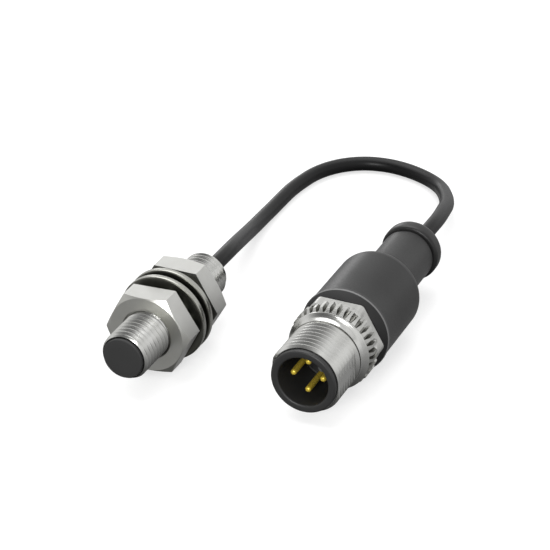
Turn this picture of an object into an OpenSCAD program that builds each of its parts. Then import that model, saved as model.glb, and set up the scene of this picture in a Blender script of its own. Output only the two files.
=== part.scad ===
// Inductive proximity sensor with an M8 x 1 threaded barrel, two nuts with tooth lock washers,
// and a short cable that ends in an M12 x 1 plug with four contacts.
// Millimetres. +Y runs along the barrel from the sensing face to the cable end, and +Z is up.
// The origin lies on the surface that the sensor rests on, under the middle of the barrel.
// The plug lies beside the sensor, parallel to it, on the +X side.

/* [Sensor barrel] */
// Length of the sensor, from the sensing face to the cable end
sensor_len = 30; // [28:1:34]
// Major diameter of the barrel's fine thread
thread_d = 8; // [8:0.1:8.2]
// Diameter of the bore through the barrel
bore_d = 6.6; // [6.5:0.1:6.7]
// Diameter of the sensing cap
cap_d = 6.8; // [6.75:0.05:6.9]
// How far the sensing cap stands proud of the metal
cap_proud = 0.5; // [0.2:0.1:0.8]

/* [Nuts and washers] */
// Width across the flats of the nuts and of the plug's screw
across_flats = 13; // [12.8:0.1:13]
// Thickness of each nut
nut_h = 4; // [3:0.5:4]
// Where the front nut begins along the barrel
front_nut_y = -6.9; // [-8:0.1:-6]
// Diameter of the tooth lock washers
washer_d = 15; // [14.6:0.1:15]
// Thickness of a washer's flat rim
rim_t = 1.1; // [0.8:0.1:1.2]
// Height of a washer over its twisted teeth
washer_h = 2.6; // [2.2:0.1:2.8]
// Thickness of panel that the washers are set to clamp
panel_gap = 1.3; // [1.2:0.1:2]
// Number of teeth inside a washer
tooth_count = 10; // [8:1:12]

/* [Cable] */
// Diameter of the cable's sheath
cable_d = 2.7; // [2.4:0.1:2.7]

/* [Plug] */
// Distance between the axes of the sensor and the plug
plug_x = 28.3; // [26:0.1:30]
// Where the plug's front rim lies along the barrel
plug_y = -9.8; // [-12:0.1:-8]
// Major diameter of the coupling screw's thread
plug_thread_d = 12; // [12:0.1:12.2]
// Outer diameter of the contact carrier
carrier_d = 10.8; // [10.7:0.05:10.85]
// Diameter of the socket in the contact carrier
socket_d = 8.34; // [8.2:0.02:8.4]
// Largest diameter of the moulded grip
grip_d = 15; // [14.6:0.1:15]
// Number of teeth in the knurl
knurl_count = 36; // [30:2:42]

/* [Hidden] */

$fn = 96;
eps = 0.01;
axis_h = washer_d / 2;
fit = 0.05;

thread_r = thread_d / 2;
bore_r = bore_d / 2;
cap_r = cap_d / 2;
face_y = -sensor_len / 2;
rim_y = face_y + cap_proud;
end_y = sensor_len / 2;
thread_chamfer = 0.35;
valley_r = thread_r - 0.25;
valley_w = 0.6;
cap_skirt = 2.0;
cap_face_t = 0.6;

hex_r = across_flats / 2 / cos(30);
front_nut_roll = 3;
rear_nut_roll = 0;
nut_chamfer_r = 6.4;
nut_bore_r = thread_r + fit;
nut_mouth_r = 4.35;

washer_r = washer_d / 2;
washer_rim_in_r = 5.2;
tooth_in_r = 4.3;
tooth_out_r = 5.5;
tooth_w = 0.7;
tooth_tilt = 38;
front_washer_y = front_nut_y + nut_h;
rear_washer_y = front_washer_y + washer_h + panel_gap;
rear_nut_y = rear_washer_y + washer_h;

ferrite_r = 2.8;
ferrite_y = face_y + cap_face_t;
ferrite_len = 2.2;
ferrite_post_r = 1.2;
ferrite_well_r = 2.35;
ferrite_back_t = 0.8;
former_in_r = 1.25;
former_r = 1.45;
flange_r = 2.3;
flange_t = 0.15;
former_y = ferrite_y + 0.05;
former_len = ferrite_len - ferrite_back_t - 0.1;
lead_r = 0.12;
lead_hole_r = 0.2;
lead_pos = 1.8;

board_w = 5.4;
board_t = 0.6;
board_y0 = ferrite_y + ferrite_len + 0.3;
board_y1 = 9;
potting_y0 = board_y0 + 0.6;
potting_y1 = 8.2;
potting_r = bore_r - 0.05;
core_r = 0.4;
core_hole_r = 0.43;
core_ring_r = 0.75;
core_angles = [90, 210, 330];
bush_y0 = 11.5;
bush_flange_r = 3.25;
bush_nose_len = 1.2;
bush_nose_r = 1.75;
cable_r = cable_d / 2;
bush_y1 = end_y - 0.1;
cable_start_y = bush_y1 + bush_nose_len;

plug_thread_r = plug_thread_d / 2;
screw_bore_r = carrier_d / 2 + fit;
screw_front = 0.8;
thread_end = 8.9;
collar_r0 = 5.9;
collar_r1 = 6.85;
knurl_s0 = 10.3;
knurl_s1 = 13.4;
knurl_tip_r = 7.1;
knurl_root_r = 6.4;
knurl_chamfer = 0.8;
hex_s0 = 12.6;
hex_s1 = 15.1;
hex_blunt_r = 7.36;
ring_groove_r = 6.2;
ring_groove_s0 = 11.3;
ring_groove_s1 = 12.6;

carrier_r = carrier_d / 2;
socket_r = socket_d / 2;
socket_depth = 9.3;
carrier_len = 16;
carrier_tail_r = 4.75;
carrier_tail_s = 15.0;
key_r = 0.6;
key_pos = socket_r - 0.15;
key_angle = -45;
key_s0 = 0.4;
pin_r = 0.5;
pin_ring_r = 3.5 / sqrt(2);
pin_tip_s = 1.93;
pin_cup_r = 0.7;
pin_cup_s1 = 19.5;
snap_in_r = 5.0;
snap_out_r = 6.0;
snap_s0 = 11.5;
snap_s1 = 12.3;
snap_gap = 2.4;

grip_r = grip_d / 2;
grip_s0 = 15.3;
grip_front_r = 6.6;
grip_body_r = 7.34;
grip_rim_s = 16.9;
neck_r = 4.55;
shoulder_s = 30.4;
shoulder_w = grip_body_r - neck_r;
shoulder_len = 2.6;
groove_s = 45;
groove_r = 4.2;
collar_ring_r = 5.1;
grip_end_s = 48.3;
grip_cavity_r = 4.8;
grip_cavity_s1 = 30;
core_channel_r = 1.25;
mould_r = 4.7;
mould_s0 = 16.1;
mould_s1 = 29.6;
funnel_s = 20.2;
funnel_r = 3.4;

// Route of the cable's centre line, from the bush to the grip: straight out, down on to the
// surface, round in one loose loop, and up again into the plug
cable_route = [
    [0, cable_start_y, axis_h],
    [0, 20, 7.5], [-0.3, 24, 7.1], [-1.0, 28, 6.2], [-1.9, 32, 5.0], [-2.8, 36, 3.8],
    [-3.6, 40, 2.7], [-4.1, 44, 2.0], [-4.4, 48, 1.6], [-4.5, 52, 1.4], [-4.5, 56, 1.4],
    [-4.4, 60, 1.4], [-3.9, 64, 1.4], [-3.0, 68, 1.4], [-1.2, 71.6, 1.4], [1.4, 74.4, 1.4],
    [4.6, 76.2, 1.4], [8.4, 76.9, 1.4], [12.2, 76.5, 1.4], [15.8, 75.3, 1.4], [18.8, 73.5, 1.5],
    [21.2, 70.9, 1.9], [23.1, 67.4, 2.8], [24.8, 63.6, 3.9], [26.3, 59.4, 5.0],
    [27.3, 54.8, 6.1], [28.0, 50.4, 6.9], [28.3, 46.4, 7.4], [28.3, 42.4, 7.5],
    [plug_x, plug_y + grip_end_s, axis_h]
];
cable_sides = 8;

// Places its children on the barrel's axis: their Z becomes the distance along +Y
module on_sensor() {
    translate([0, 0, axis_h]) rotate([-90, 0, 0]) children();
}

// Places its children on the plug's axis: their Z becomes the distance behind the front rim
module on_plug() {
    translate([plug_x, plug_y, axis_h]) rotate([-90, 0, 0]) children();
}

// A plain round tube between two distances along the axis
module tube(outer_r, inner_r, from, to) {
    translate([0, 0, from]) difference() {
        cylinder(r = outer_r, h = to - from);
        translate([0, 0, -eps]) cylinder(r = inner_r, h = to - from + 2 * eps);
    }
}

// A round bar between two distances along the axis
module bar(r, from, to) {
    translate([0, 0, from]) cylinder(r = r, h = to - from);
}

// ---- sensor ----

// The thread is drawn as a plain cylinder, with one of its valleys just ahead of the front nut
module sensor_barrel() {
    valley_y1 = front_nut_y - 0.05;
    valley_y0 = valley_y1 - valley_w;
    color("#b9b9b2") on_sensor() rotate_extrude() polygon([
        [bore_r, rim_y + cap_skirt], [cap_r + fit, rim_y + cap_skirt], [cap_r + fit, rim_y],
        [thread_r - thread_chamfer, rim_y], [thread_r, rim_y + thread_chamfer],
        [thread_r, valley_y0], [valley_r, valley_y0], [valley_r, valley_y1], [thread_r, valley_y1],
        [thread_r, end_y - thread_chamfer], [thread_r - thread_chamfer, end_y], [bore_r, end_y]
    ]);
}

module sensing_cap() {
    edge = 0.15;
    color("#2e2e2e") on_sensor() rotate_extrude() polygon([
        [0, face_y], [cap_r - edge, face_y], [cap_r, face_y + edge], [cap_r, rim_y + cap_skirt],
        [ferrite_r + fit, rim_y + cap_skirt], [ferrite_r + fit, ferrite_y], [0, ferrite_y]
    ]);
}

// Pot core, open towards the sensing face, with two holes for the coil's leads
module ferrite_core() {
    color("#3b3a3c") on_sensor() difference() {
        bar(ferrite_r, ferrite_y, ferrite_y + ferrite_len);
        tube(ferrite_well_r, ferrite_post_r, ferrite_y - eps, ferrite_y + ferrite_len - ferrite_back_t);
        for (side = [-1, 1])
            translate([side * lead_pos, 0, 0]) bar(lead_hole_r, ferrite_y, ferrite_y + ferrite_len + eps);
    }
}

module coil_former() {
    color("#d8cfae") on_sensor() union() {
        tube(former_r, former_in_r, former_y, former_y + former_len);
        tube(flange_r, former_in_r, former_y, former_y + flange_t);
        difference() {
            tube(flange_r, former_in_r, former_y + former_len - flange_t, former_y + former_len);
            for (side = [-1, 1])
                translate([side * lead_pos, 0, 0]) bar(lead_hole_r, former_y, former_y + former_len + eps);
        }
    }
}

module sense_coil() {
    color("#a5562a") on_sensor()
        tube(flange_r - 0.1, former_r + 0.02, former_y + flange_t, former_y + former_len - flange_t);
}

module coil_leads() {
    color("#a5562a") on_sensor() for (side = [-1, 1])
        translate([side * lead_pos, 0, 0])
            bar(lead_r, former_y + former_len - flange_t, board_y0);
}

// A block on the board: place across, place along, size [across, up, along], side of the board,
// and a gap by which its faces move outwards
module board_block(x, y, size, side, gap) {
    grown = size + [2 * gap, gap, 2 * gap];
    translate([x - grown[0] / 2, side > 0 ? -board_t / 2 - grown[1] : board_t / 2, y - grown[2] / 2])
        cube(grown);
}

module chip_block(gap) {
    board_block(0, -5, [3, 0.9, 3], 1, gap);
}

module transistor_block(gap) {
    board_block(0, 3.2, [2.6, 1.0, 1.5], 1, gap);
}

module small_blocks(gap) {
    for (i = [-1 : 1]) board_block(1.4 * i, -0.6, [0.6, 0.5, 1.2], 1, gap);
    for (i = [0 : 3]) board_block(i % 2 == 0 ? -1.2 : 1.2, -6 + 3 * i, [0.8, 0.6, 1.6], -1, gap);
}

module circuit_board() {
    color("#2f6b45") on_sensor()
        translate([-board_w / 2, -board_t / 2, board_y0]) cube([board_w, board_t, board_y1 - board_y0]);
}

module oscillator_chip() {
    color("#222222") on_sensor() chip_block(0);
}

module output_transistor() {
    color("#2a2a2a") on_sensor() transistor_block(0);
}

module board_parts() {
    color("#b7a27a") on_sensor() small_blocks(0);
}

// Cast resin round the board; the board's tail end stands out of it
module potting() {
    gap = 0.01;
    color("#1d1d1f") on_sensor() difference() {
        bar(potting_r, potting_y0, potting_y1);
        translate([-board_w / 2 - gap, -board_t / 2 - gap, potting_y0 - 1])
            cube([board_w + 2 * gap, board_t + 2 * gap, potting_y1 - potting_y0 + 2]);
        chip_block(gap);
        transistor_block(gap);
        small_blocks(gap);
    }
}

module sensor_cores() {
    colours = ["#6b4526", "#2b4f9a", "#26262a"];
    on_sensor() for (i = [0 : 2])
        color(colours[i]) rotate([0, 0, core_angles[i]]) translate([core_ring_r, 0, 0])
            bar(core_r, board_y1, cable_start_y);
}

// Cable entry in the barrel's tail, with a short tapered nose round the cable
module cable_bush() {
    color("#26262a") on_sensor() difference() {
        rotate_extrude() polygon([
            [0, bush_y0], [bush_flange_r, bush_y0], [bush_flange_r, bush_y1],
            [bush_nose_r, bush_y1], [cable_r + 0.05, cable_start_y], [0, cable_start_y]
        ]);
        for (angle = core_angles) rotate([0, 0, angle]) translate([core_ring_r, 0, 0])
            bar(core_hole_r, bush_y0 - 1, cable_start_y + 1);
    }
}

// Hexagon nut, its chamfered side towards -Z, turned by `roll` from +X
module hex_nut(roll) {
    outside_r = hex_r + 0.2;
    mouth = nut_mouth_r - nut_bore_r;
    difference() {
        intersection() {
            rotate([0, 0, -roll]) cylinder(r = hex_r, h = nut_h, $fn = 6);
            rotate_extrude() polygon([
                [0, 0], [nut_chamfer_r, 0], [outside_r, (outside_r - nut_chamfer_r) * tan(30)],
                [outside_r, nut_h], [0, nut_h]
            ]);
        }
        rotate_extrude() polygon([
            [0, -eps], [nut_mouth_r + eps, -eps], [nut_bore_r, mouth],
            [nut_bore_r, nut_h - mouth], [nut_mouth_r + eps, nut_h + eps], [0, nut_h + eps]
        ]);
    }
}

module front_nut() {
    color("#c1c2bc") on_sensor() translate([0, 0, front_nut_y]) hex_nut(front_nut_roll);
}

module rear_nut() {
    color("#c1c2bc") on_sensor() translate([0, 0, rear_nut_y + nut_h]) mirror([0, 0, 1]) hex_nut(rear_nut_roll);
}

// Lock washer: a flat rim, and teeth that twist out of it towards +Z
module lock_washer() {
    tube(washer_r, washer_rim_in_r, 0, rim_t);
    intersection() {
        tube(tooth_out_r, tooth_in_r, 0, washer_h);
        for (i = [0 : tooth_count - 1]) rotate([0, 0, 360 * i / tooth_count])
            translate([tooth_in_r - 0.5, 0, washer_h / 2]) rotate([tooth_tilt, 0, 0])
                translate([0, -tooth_w / 2, -washer_h]) cube([2.5, tooth_w, 2 * washer_h]);
    }
}

module front_lock_washer() {
    color("#aeaea8") on_sensor()
        translate([0, 0, front_washer_y + washer_h]) mirror([0, 0, 1]) lock_washer();
}

module rear_lock_washer() {
    color("#aeaea8") on_sensor() translate([0, 0, rear_washer_y]) lock_washer();
}

// ---- cable ----

function unit(v) = v / norm(v);
function route_dir(path, i) = unit(path[min(i + 1, len(path) - 1)] - path[max(i - 1, 0)]);
function ring_points(path, i, r, sides, across) =
    let (d = route_dir(path, i), side = unit(cross(d, across)), up = cross(side, d))
    [for (k = [0 : sides - 1]) path[i] + r * (cos(360 * k / sides) * side + sin(360 * k / sides) * up)];

// A round tube swept along a list of points that never run along `across`, with flat ends
module sweep_tube(path, r, sides, across) {
    rings = len(path);
    points = [for (i = [0 : rings - 1]) each ring_points(path, i, r, sides, across)];
    skin = [for (i = [0 : rings - 2], k = [0 : sides - 1])
        let (a = i * sides + k, b = i * sides + (k + 1) % sides) [b, a, a + sides, b + sides]];
    first = [for (k = [0 : sides - 1]) k];
    last = [for (k = [0 : sides - 1]) rings * sides - 1 - k];
    polyhedron(points = points, faces = concat(skin, [first, last]));
}

module cable() {
    color("#2f2f31") sweep_tube(cable_route, cable_r, cable_sides, [0, 0, 1]);
}

// ---- plug ----

function arc(cx, cy, rx, ry, from, to, steps) =
    [for (i = [0 : steps]) let (a = from + (to - from) * i / steps) [cx + rx * cos(a), cy + ry * sin(a)]];

// Moulded grip: dark front cone, body, rounded shoulder, neck, groove and end ring
module plug_grip() {
    end_round = 1.5;
    outline = concat(
        [[carrier_tail_r + fit, grip_s0], [grip_front_r, grip_s0], [grip_r, grip_rim_s], [grip_body_r, grip_rim_s + 1.2]],
        arc(neck_r, shoulder_s, shoulder_w, shoulder_len, 0, 90, 12),
        [[neck_r, groove_s - 0.4], [groove_r, groove_s - 0.2],
         [groove_r, groove_s + 0.1], [collar_ring_r, groove_s + 0.5]],
        arc(collar_ring_r - end_round, grip_end_s - end_round, end_round, end_round, 0, 90, 6),
        [[core_channel_r, grip_end_s], [core_channel_r, grip_cavity_s1],
         [grip_cavity_r, grip_cavity_s1], [grip_cavity_r, grip_s0]]
    );
    color("#454545") on_plug() rotate_extrude() polygon(outline);
}

// Course of one core: out of a contact's cup, in towards the axis, and straight back to the cable
function core_course(index) =
    let (cup_angle = [90, 180, 0][index],
         cup = pin_ring_r * [cos(cup_angle), sin(cup_angle)],
         inner = core_ring_r * [cos(core_angles[index]), sin(core_angles[index])],
         bend_s0 = pin_cup_s1 + 1, bend_s1 = mould_s1 - 1, steps = 4)
    concat([[cup[0], cup[1], pin_cup_s1]],
           [for (i = [0 : steps])
               let (t = i / steps, ease = (1 - cos(180 * t)) / 2, p = cup + ease * (inner - cup))
               [p[0], p[1], bend_s0 + t * (bend_s1 - bend_s0)]],
           [[inner[0], inner[1], grip_end_s]]);

module plug_cores() {
    colours = ["#6b4526", "#2b4f9a", "#26262a"];
    on_plug() for (i = [0 : 2]) color(colours[i]) sweep_tube(core_course(i), core_r, 10, [1, 0, 0]);
}

// Inner moulding: grips the contacts' cups, and narrows behind them round the cores
module inner_mould() {
    color("#2a2a2c") on_plug() difference() {
        bar(mould_r, mould_s0, mould_s1);
        for (angle = [0 : 90 : 270]) rotate([0, 0, angle]) translate([pin_ring_r, 0, 0])
            bar(pin_cup_r + 0.03, mould_s0 - 1, funnel_s + 0.5);
        rotate_extrude() polygon([
            [0, funnel_s], [funnel_r, funnel_s], [core_channel_r, mould_s1 - 0.5],
            [core_channel_r, mould_s1 + 1], [0, mould_s1 + 1]
        ]);
    }
}

// Contact carrier: socket with a key rib, holes for the contacts, and a groove for the snap ring
module contact_carrier() {
    color("#3c3c3e") on_plug() {
        difference() {
            rotate_extrude() polygon([
                [socket_r, 0.2], [socket_r + 0.2, 0], [carrier_r - 0.25, 0], [carrier_r, 0.25],
                [carrier_r, snap_s0 - fit], [snap_in_r, snap_s0 - fit], [snap_in_r, snap_s1 + fit],
                [carrier_r, snap_s1 + fit], [carrier_r, carrier_tail_s], [carrier_tail_r, carrier_tail_s],
                [carrier_tail_r, carrier_len], [0, carrier_len], [0, socket_depth],
                [socket_r, socket_depth]
            ]);
            for (angle = [0 : 90 : 270]) rotate([0, 0, angle]) translate([pin_ring_r, 0, 0])
                bar(pin_r + 0.01, socket_depth - 1, carrier_len + 1);
        }
        rotate([0, 0, key_angle]) translate([key_pos, 0, 0]) bar(key_r, key_s0, socket_depth + 0.2);
    }
}

// One contact: rounded tip, round pin, and a solder cup behind the carrier
module contact_pin(angle) {
    tip = 0.35;
    color("#c9a63c") on_plug() rotate([0, 0, angle]) translate([pin_ring_r, 0, 0]) difference() {
        rotate_extrude() polygon(concat(
            [[0, pin_tip_s]],
            arc(pin_r - tip, pin_tip_s + tip, tip, tip, -90, 0, 5),
            [[pin_r, carrier_len], [pin_cup_r, carrier_len], [pin_cup_r, pin_cup_s1], [0, pin_cup_s1]]
        ));
        bar(core_r - 0.05, pin_cup_s1 - 2, pin_cup_s1 + 1);
    }
}

module contact_pin_1() { contact_pin(180); }
module contact_pin_2() { contact_pin(270); }
module contact_pin_3() { contact_pin(0); }
module contact_pin_4() { contact_pin(90); }

module retaining_ring() {
    color("#8f9093") on_plug() difference() {
        tube(snap_out_r, snap_in_r + fit, snap_s0, snap_s1);
        translate([0, -snap_gap / 2, snap_s0 - 1]) cube([snap_out_r + 1, snap_gap, snap_s1 - snap_s0 + 2]);
    }
}

// Toothed outline of the knurl, with a valley at angle 0
function knurl_outline() = [for (i = [0 : 2 * knurl_count - 1])
    let (a = 180 * i / knurl_count, r = i % 2 == 0 ? knurl_root_r : knurl_tip_r) [r * cos(a), r * sin(a)]];

// Coupling screw: thread, plain collar, knurl and hexagon, free to turn on the carrier
module coupling_screw() {
    color("#c4c4be") on_plug() difference() {
        union() {
            rotate_extrude() polygon([
                [0, screw_front], [plug_thread_r - 0.4, screw_front], [plug_thread_r, screw_front + 0.4],
                [plug_thread_r, thread_end], [collar_r0, thread_end + 0.1], [collar_r1, knurl_s0],
                [knurl_root_r, knurl_s0], [knurl_root_r, knurl_s0 + 0.2], [0, knurl_s0 + 0.2]
            ]);
            intersection() {
                translate([0, 0, knurl_s0]) linear_extrude(knurl_s1 - knurl_s0) polygon(knurl_outline());
                rotate_extrude() polygon([
                    [0, knurl_s0], [knurl_root_r, knurl_s0], [knurl_tip_r + 0.05, knurl_s0 + knurl_chamfer],
                    [knurl_tip_r + 0.05, knurl_s1], [0, knurl_s1]
                ]);
            }
            intersection() {
                translate([0, 0, hex_s0]) cylinder(r = hex_r, h = hex_s1 - hex_s0, $fn = 6);
                bar(hex_blunt_r, hex_s0, hex_s1);
            }
        }
        bar(screw_bore_r, 0, hex_s1 + 1);
        bar(ring_groove_r, ring_groove_s0, ring_groove_s1);
    }
}

sensor_barrel();
sensing_cap();
ferrite_core();
coil_former();
sense_coil();
coil_leads();
circuit_board();
oscillator_chip();
output_transistor();
board_parts();
potting();
sensor_cores();
cable_bush();
front_nut();
front_lock_washer();
rear_lock_washer();
rear_nut();
cable();
plug_grip();
inner_mould();
plug_cores();
contact_carrier();
contact_pin_1();
contact_pin_2();
contact_pin_3();
contact_pin_4();
retaining_ring();
coupling_screw();
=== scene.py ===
"""Looks of an inductive proximity sensor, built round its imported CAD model.

The sensor has an M8 x 1 threaded barrel with two nuts and two tooth lock washers. A short cable
joins it to an M12 x 1 plug with four contacts. Lengths are in millimetres until a mesh is made.
+Y runs along both parts from front to back and +Z is up. An angle round an axis is in degrees and
goes from +X towards +Z.
"""

import logging
import math
from collections.abc import Callable, Sequence
from dataclasses import dataclass
from enum import Enum

import bmesh
import bpy
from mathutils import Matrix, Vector

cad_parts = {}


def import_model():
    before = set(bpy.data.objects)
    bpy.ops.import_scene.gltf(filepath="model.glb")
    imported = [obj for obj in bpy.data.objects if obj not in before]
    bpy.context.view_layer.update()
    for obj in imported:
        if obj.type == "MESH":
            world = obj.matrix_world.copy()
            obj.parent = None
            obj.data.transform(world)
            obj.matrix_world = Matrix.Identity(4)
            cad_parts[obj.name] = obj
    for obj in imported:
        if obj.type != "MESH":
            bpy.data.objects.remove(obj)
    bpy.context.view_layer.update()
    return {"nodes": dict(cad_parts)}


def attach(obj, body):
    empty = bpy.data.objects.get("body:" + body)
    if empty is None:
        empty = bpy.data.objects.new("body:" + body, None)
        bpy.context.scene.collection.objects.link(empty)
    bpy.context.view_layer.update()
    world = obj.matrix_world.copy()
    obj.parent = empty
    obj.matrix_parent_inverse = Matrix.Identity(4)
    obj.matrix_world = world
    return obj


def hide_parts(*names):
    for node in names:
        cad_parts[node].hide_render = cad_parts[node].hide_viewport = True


MM = 0.001
WELD_MM = 0.0005
# Noise rarely leaves this part of its range, so a finish spreads its gloss over it
NOISE_RANGE = {"From Min": 0.3, "From Max": 0.7}
# A wave texture at scale 1 turns by this many radians in each unit of length
WAVE_UNITS = 20
LOG = logging.getLogger("proximity sensor")

Section = list[tuple[float, float]]
Colour = tuple[float, float, float, float]
Point = tuple[float, float, float]
Tree = bpy.types.NodeTree
Socket = bpy.types.NodeSocket
Material = bpy.types.Material
Piece = bpy.types.Object


# ---- colours and nodes ----


def linear(colour: str) -> Colour:
    """Turns an sRGB hex colour into linear red, green, blue and alpha.

    Args:
        colour: Six hex digits after a hash sign.

    Returns:
        The colour as Blender's sockets take it.
    """
    parts = [int(colour[i : i + 2], 16) / 255 for i in (1, 3, 5)]
    red, green, blue = (
        c / 12.92 if c <= 0.04045 else ((c + 0.055) / 1.055) ** 2.4 for c in parts
    )
    return (red, green, blue, 1.0)


def add_node(
    tree: Tree, kind: str, inputs: dict[str | int, object] | None = None, **settings: object
) -> bpy.types.Node:
    """Adds one shader node with its settings, values and links.

    Args:
        tree: Node tree that the node goes in.
        kind: Node type, without its common prefix.
        inputs: Socket name or number, with a value or with an output socket to link.
        **settings: Properties of the node itself.

    Returns:
        The new node.
    """
    node = tree.nodes.new("ShaderNode" + kind)
    for name, value in settings.items():
        setattr(node, name, value)
    for name, value in (inputs or {}).items():
        if isinstance(value, Socket):
            tree.links.new(value, node.inputs[name])
        else:
            node.inputs[name].default_value = value
    return node


def new_material(name: str) -> tuple[Material, Tree]:
    """Makes an empty node material.

    Args:
        name: Name of the real material and its process.

    Returns:
        The material and its cleared node tree.
    """
    material = bpy.data.materials.new(name)
    material.use_nodes = True
    material.node_tree.nodes.clear()
    return material, material.node_tree


# ---- axes ----


@dataclass(frozen=True)
class CentreLine:
    """Axis of a round part, parallel to +Y."""

    x: float
    y: float
    z: float

    def point(self, radius: float, angle: float, along: float) -> Vector:
        """Gives a point round the axis.

        Args:
            radius: Distance from the axis.
            angle: Angle round the axis.
            along: Distance along +Y from the line's own start.

        Returns:
            The point in row millimetres.
        """
        turn = math.radians(angle)
        return Vector(
            (self.x + radius * math.cos(turn), self.y + along, self.z + radius * math.sin(turn))
        )


SENSOR_LINE = CentreLine(0.0, 0.0, 7.5)
PLUG_LINE = CentreLine(28.3, -9.8, 7.5)


# ---- finishes ----


def patchy_tone(tree: Tree, spot: Socket, size: float, shade: str, colour: str) -> Socket:
    """Mixes two tones in soft patches.

    Args:
        tree: The material's node tree.
        spot: Position on the piece, in metres.
        size: Size of the patches.
        shade: The darker tone.
        colour: The paler tone.

    Returns:
        The mixed tone.
    """
    cloud = add_node(tree, "TexNoise", {"Vector": spot, "Scale": 1 / (size * MM), "Detail": 3.0})
    tones = {0: cloud.outputs[0], 6: linear(shade), 7: linear(colour)}
    return add_node(tree, "Mix", tones, data_type="RGBA").outputs[2]


def add_surface(
    tree: Tree,
    height: Socket,
    depth: float,
    roughness: float,
    inputs: dict[str, object],
    spread: float = 0.0,
) -> None:
    """Adds a surface with fine relief and links it to the material's output.

    Args:
        tree: The material's node tree.
        height: Height of the relief, from 0 to 1.
        depth: The relief's depth.
        roughness: The surface's middle roughness.
        inputs: The surface's tone and other inputs.
        spread: How far the roughness follows the relief, up and down.
    """
    gloss = roughness
    if spread:
        ends = {"To Min": roughness - spread, "To Max": roughness + spread}
        gloss = add_node(tree, "MapRange", {**NOISE_RANGE, **ends, "Value": height}).outputs[0]
    relief = add_node(tree, "Bump", {"Height": height, "Distance": depth * MM}).outputs[0]
    inputs = {**inputs, "Roughness": gloss, "Normal": relief}
    shader = add_node(tree, "BsdfPrincipled", inputs)
    add_node(tree, "OutputMaterial", {"Surface": shader.outputs[0]})


class Marks(Enum):
    """Which way a tool or a drawing die left its fine lines."""

    ROUND_SENSOR = "rings round the sensor's axis"
    ROUND_PLUG = "rings round the plug's axis"
    LENGTHWISE = "lines along the axis"
    TUMBLED = "no direction"


@dataclass(frozen=True)
class PlatedMetal:
    """Nickel or gold plating over worked metal: a clear sheen broken by the tool's fine lines."""

    name: str
    colour: str
    shade: str
    roughness: float
    marks: Marks
    mark_mm: float = 0.12
    depth_mm: float = 0.002
    spread: float = 0.06
    cloud_mm: float = 2.5
    # How much longer the lines of drawn metal are along the axis than across it
    stretch: float = 25.0
    metallic: float = 1.0

    def build(self) -> Material:
        """Returns the finished material."""
        material, tree = new_material(self.name)
        spot = add_node(tree, "TexCoord").outputs["Object"]
        tone = patchy_tone(tree, spot, self.cloud_mm, self.shade, self.colour)
        inputs = {"Base Color": tone, "Metallic": self.metallic}
        lines = self.lines(tree, spot)
        add_surface(tree, lines, self.depth_mm, self.roughness, inputs, self.spread)
        return material

    def lines(self, tree: Tree, spot: Socket) -> Socket:
        """Draws the tool's fine lines.

        Args:
            tree: The material's node tree.
            spot: Position on the piece, in metres.

        Returns:
            Height of the lines, from 0 to 1.
        """
        look = {"Scale": 1 / (self.mark_mm * MM), "Detail": 2.0}
        if self.marks in (Marks.ROUND_SENSOR, Marks.ROUND_PLUG):
            axis = SENSOR_LINE if self.marks is Marks.ROUND_SENSOR else PLUG_LINE
            moves = {0: spot, 1: (axis.x * MM, 0.0, axis.z * MM)}
            moved = add_node(tree, "VectorMath", moves, operation="SUBTRACT").outputs[0]
            flat = {0: moved, 1: (1.0, 0.0, 1.0)}
            across = add_node(tree, "VectorMath", flat, operation="MULTIPLY").outputs[0]
            radius = add_node(tree, "VectorMath", {0: across}, operation="LENGTH")
            along = add_node(tree, "SeparateXYZ", {0: moved}).outputs["Y"]
            sums = {0: radius.outputs["Value"], 1: along}
            course = add_node(tree, "Math", sums, operation="ADD").outputs[0]
            return add_node(
                tree, "TexNoise", {"W": course, **look}, noise_dimensions="1D"
            ).outputs[0]
        stretch = self.stretch if self.marks is Marks.LENGTHWISE else 1.0
        scale = {0: spot, 1: (1.0, 1 / stretch, 1.0)}
        drawn = add_node(tree, "VectorMath", scale, operation="MULTIPLY").outputs[0]
        return add_node(tree, "TexNoise", {"Vector": drawn, **look}).outputs[0]


@dataclass(frozen=True)
class MouldedPlastic:
    """Moulded or extruded polymer: a matte skin with a fine grain and a slightly uneven tone."""

    name: str
    colour: str
    shade: str
    roughness: float
    grain_mm: float = 0.15
    depth_mm: float = 0.004
    spread: float = 0.06
    cloud_mm: float = 3.0
    coat: float = 0.0
    ior: float = 1.5

    def build(self) -> Material:
        """Returns the finished material."""
        material, tree = new_material(self.name)
        spot = add_node(tree, "TexCoord").outputs["Object"]
        look = {"Vector": spot, "Scale": 1 / (self.grain_mm * MM), "Detail": 3.0}
        grain = add_node(tree, "TexNoise", look).outputs[0]
        inputs = {
            "Base Color": patchy_tone(tree, spot, self.cloud_mm, self.shade, self.colour),
            "IOR": self.ior,
            "Coat Weight": self.coat,
            "Coat Roughness": 0.15,
        }
        add_surface(tree, grain, self.depth_mm, self.roughness, inputs, self.spread)
        return material


@dataclass(frozen=True)
class WoundWire:
    """Fine enamelled copper: rings of wire side by side, warm and glossy on their crowns, darker
    between the turns as painted shade.
    """

    name: str
    colour: str
    shade: str
    wire_mm: float

    def build(self) -> Material:
        """Returns the finished material."""
        material, tree = new_material(self.name)
        spot = add_node(tree, "TexCoord").outputs["Object"]
        look = {"Vector": spot, "Scale": math.tau / (WAVE_UNITS * self.wire_mm * MM)}
        turns = add_node(tree, "TexWave", look, bands_direction="Y").outputs["Fac"]
        # The tone follows the rings, so the hollows between turns carry painted shade
        tones = {0: turns, 6: linear(self.shade), 7: linear(self.colour)}
        tone = add_node(tree, "Mix", tones, data_type="RGBA").outputs[2]
        inputs = {"Base Color": tone, "Metallic": 1.0, "Coat Weight": 0.6}
        add_surface(tree, turns, self.wire_mm / 3, 0.3, inputs)
        return material


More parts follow.
